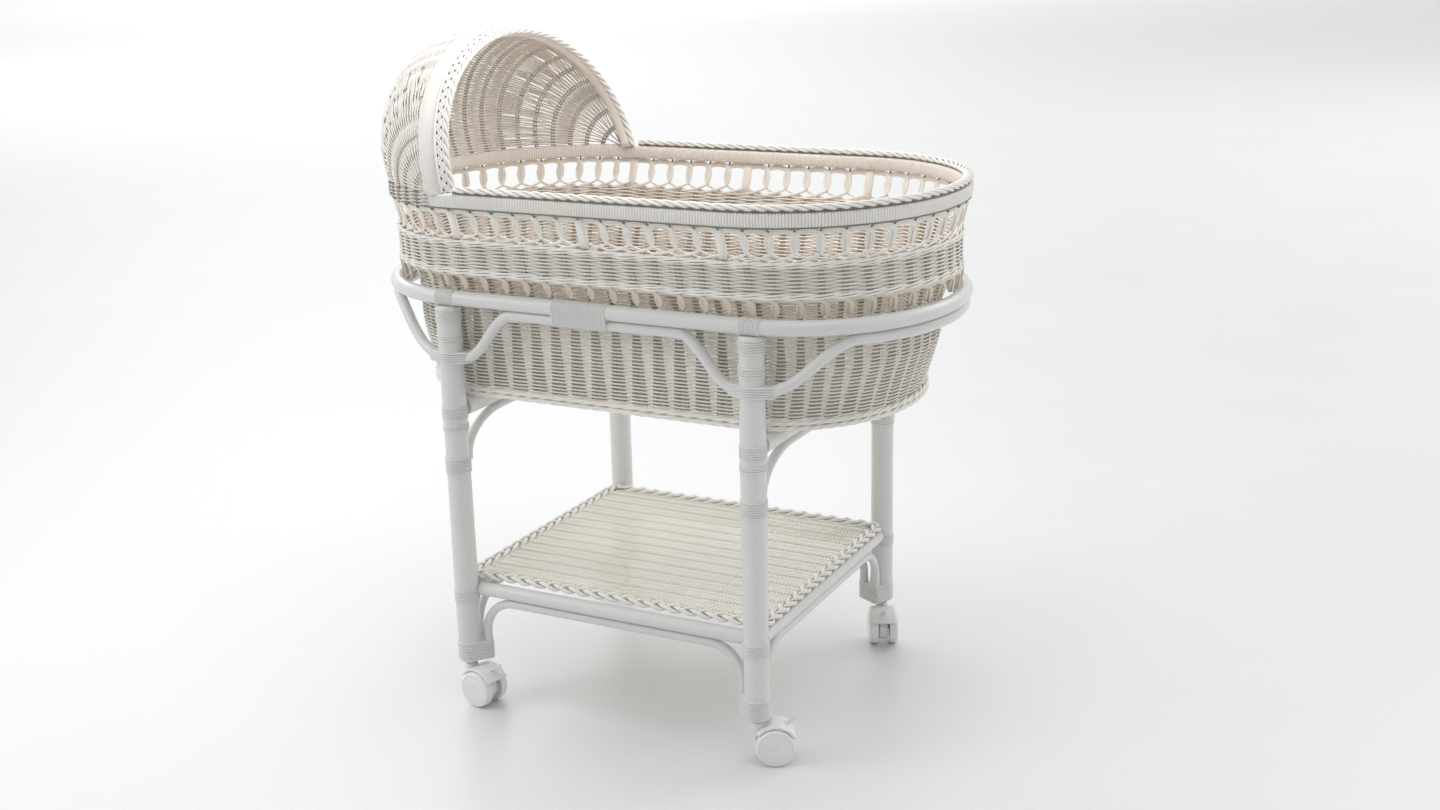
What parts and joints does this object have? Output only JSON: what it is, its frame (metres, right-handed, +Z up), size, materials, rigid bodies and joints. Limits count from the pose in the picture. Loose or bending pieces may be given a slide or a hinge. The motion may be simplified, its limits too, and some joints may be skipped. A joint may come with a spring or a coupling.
{
  "type": "bassinet",
  "caption": "Oval wicker bassinet with a fixed half hood, openwork gallery and scalloped skirt, lifting off a cane stand with a low woven shelf and braked twin-wheel casters.",
  "frame": {"origin": "on the floor under the middle of the stand", "axes": "+Z up, +X to the foot end of the basket (the hood is at -X), -Y the front"},
  "size_m": [0.8086, 0.4898, 0.8972],
  "materials": {
    "painted_cane": "glossy white paint on smooth cane poles",
    "white_wicker": "satin white paint on woven cane",
    "inner_wicker": "thin ivory paint on woven cane",
    "shelf_wicker": "ivory paint on fine woven cane",
    "caster_plastic": "glossy white moulding",
    "caster_steel": "zinc plated steel"
  },
  "bodies": {
    "stand": {"leg_head_front": "painted_cane", "leg_foot_front": "painted_cane", "leg_head_back": "painted_cane", "leg_foot_back": "painted_cane", "hoop": "painted_cane", "side_brace_front": "painted_cane", "side_brace_back": "painted_cane", "end_brace_foot": "painted_cane", "end_brace_head": "painted_cane", "cross_rail_head": "painted_cane", "cross_rail_foot": "painted_cane", "cross_rail_brace_head": "painted_cane", "cross_rail_brace_foot": "painted_cane", "shelf_rail_head": "painted_cane", "shelf_rail_foot": "painted_cane", "shelf_rail_front": "painted_cane", "shelf_rail_back": "painted_cane", "shelf_rail_brace_head": "painted_cane", "shelf_rail_brace_foot": "painted_cane", "shelf_rail_brace_front": "painted_cane", "shelf_rail_brace_back": "painted_cane", "shelf_panel": "shelf_wicker", "shelf_border": "shelf_wicker", "caster_socket_head_front": "caster_steel", "caster_socket_foot_front": "caster_steel", "caster_socket_head_back": "caster_steel", "caster_socket_foot_back": "caster_steel"},
    "basket": {"basket_wall": "white_wicker", "basket_foot_border": "white_wicker", "basket_floor": "inner_wicker", "rim_rail": "white_wicker", "rim_braid": "white_wicker", "openwork": "white_wicker", "skirt": "white_wicker", "skirt_scallops": "white_wicker", "hood_edge": "white_wicker", "hood_arch": "inner_wicker", "hood_openwork": "white_wicker", "hood_shell": "white_wicker"},
    "caster_head_front": {"caster_body_head_front": "caster_plastic", "caster_axle_head_front": "caster_steel"},
    "wheel_left_head_front": {"caster_wheel_left_head_front": "caster_plastic"},
    "wheel_right_head_front": {"caster_wheel_right_head_front": "caster_plastic"},
    "brake_head_front": {"caster_brake_head_front": "caster_plastic"},
    "caster_foot_front": {"caster_body_foot_front": "caster_plastic", "caster_axle_foot_front": "caster_steel"},
    "wheel_left_foot_front": {"caster_wheel_left_foot_front": "caster_plastic"},
    "wheel_right_foot_front": {"caster_wheel_right_foot_front": "caster_plastic"},
    "brake_foot_front": {"caster_brake_foot_front": "caster_plastic"},
    "caster_head_back": {"caster_body_head_back": "caster_plastic", "caster_axle_head_back": "caster_steel"},
    "wheel_left_head_back": {"caster_wheel_left_head_back": "caster_plastic"},
    "wheel_right_head_back": {"caster_wheel_right_head_back": "caster_plastic"},
    "brake_head_back": {"caster_brake_head_back": "caster_plastic"},
    "caster_foot_back": {"caster_body_foot_back": "caster_plastic", "caster_axle_foot_back": "caster_steel"},
    "wheel_left_foot_back": {"caster_wheel_left_foot_back": "caster_plastic"},
    "wheel_right_foot_back": {"caster_wheel_right_foot_back": "caster_plastic"},
    "brake_foot_back": {"caster_brake_foot_back": "caster_plastic"}
  },
  "joints": [
    {"name": "basket_lift", "type": "slide", "parent": "stand", "child": "basket", "axis": [0, 0, 1], "range_m": [0, 0.16]},
    {"name": "swivel_head_front", "type": "hinge", "parent": "stand", "child": "caster_head_front", "pos_m": [-0.217, -0.212, 0.07], "axis": [0, 0, 1], "continuous": true},
    {"name": "roll_left_head_front", "type": "hinge", "parent": "caster_head_front", "child": "wheel_left_head_front", "pos_m": [-0.19533, -0.21582, 0.025], "axis": [0.1736, 0.9848, 0], "continuous": true},
    {"name": "roll_right_head_front", "type": "hinge", "parent": "caster_head_front", "child": "wheel_right_head_front", "pos_m": [-0.19533, -0.21582, 0.025], "axis": [0.1736, 0.9848, 0], "continuous": true},
    {"name": "brake_press_head_front", "type": "hinge", "parent": "caster_head_front", "child": "brake_head_front", "pos_m": [-0.18234, -0.21811, 0.04981], "axis": [0.1736, 0.9848, 0], "range_deg": [0, 20]},
    {"name": "swivel_foot_front", "type": "hinge", "parent": "stand", "child": "caster_foot_front", "pos_m": [0.217, -0.212, 0.07], "axis": [0, 0, 1], "continuous": true},
    {"name": "roll_left_foot_front", "type": "hinge", "parent": "caster_foot_front", "child": "wheel_left_foot_front", "pos_m": [0.2366, -0.20201, 0.025], "axis": [-0.454, 0.891, 0], "continuous": true},
    {"name": "roll_right_foot_front", "type": "hinge", "parent": "caster_foot_front", "child": "wheel_right_foot_front", "pos_m": [0.2366, -0.20201, 0.025], "axis": [-0.454, 0.891, 0], "continuous": true},
    {"name": "brake_press_foot_front", "type": "hinge", "parent": "caster_foot_front", "child": "brake_foot_front", "pos_m": [0.24836, -0.19602, 0.04981], "axis": [-0.454, 0.891, 0], "range_deg": [0, 20]},
    {"name": "swivel_head_back", "type": "hinge", "parent": "stand", "child": "caster_head_back", "pos_m": [-0.217, 0.212, 0.07], "axis": [0, 0, 1], "continuous": true},
    {"name": "roll_left_head_back", "type": "hinge", "parent": "caster_head_back", "child": "wheel_left_head_back", "pos_m": [-0.23879, 0.21506, 0.025], "axis": [-0.1392, -0.9903, 0], "continuous": true},
    {"name": "roll_right_head_back", "type": "hinge", "parent": "caster_head_back", "child": "wheel_right_head_back", "pos_m": [-0.23879, 0.21506, 0.025], "axis": [-0.1392, -0.9903, 0], "continuous": true},
    {"name": "brake_press_head_back", "type": "hinge", "parent": "caster_head_back", "child": "brake_head_back", "pos_m": [-0.25185, 0.2169, 0.04981], "axis": [-0.1392, -0.9903, 0], "range_deg": [0, 20]},
    {"name": "swivel_foot_back", "type": "hinge", "parent": "stand", "child": "caster_foot_back", "pos_m": [0.217, 0.212, 0.07], "axis": [0, 0, 1], "continuous": true},
    {"name": "roll_left_foot_back", "type": "hinge", "parent": "caster_foot_back", "child": "wheel_left_foot_back", "pos_m": [0.22699, 0.1924, 0.025], "axis": [0.891, 0.454, 0], "continuous": true},
    {"name": "roll_right_foot_back", "type": "hinge", "parent": "caster_foot_back", "child": "wheel_right_foot_back", "pos_m": [0.22699, 0.1924, 0.025], "axis": [0.891, 0.454, 0], "continuous": true},
    {"name": "brake_press_foot_back", "type": "hinge", "parent": "caster_foot_back", "child": "brake_foot_back", "pos_m": [0.23298, 0.18064, 0.04981], "axis": [0.891, 0.454, 0], "range_deg": [0, 20]}
  ]
}
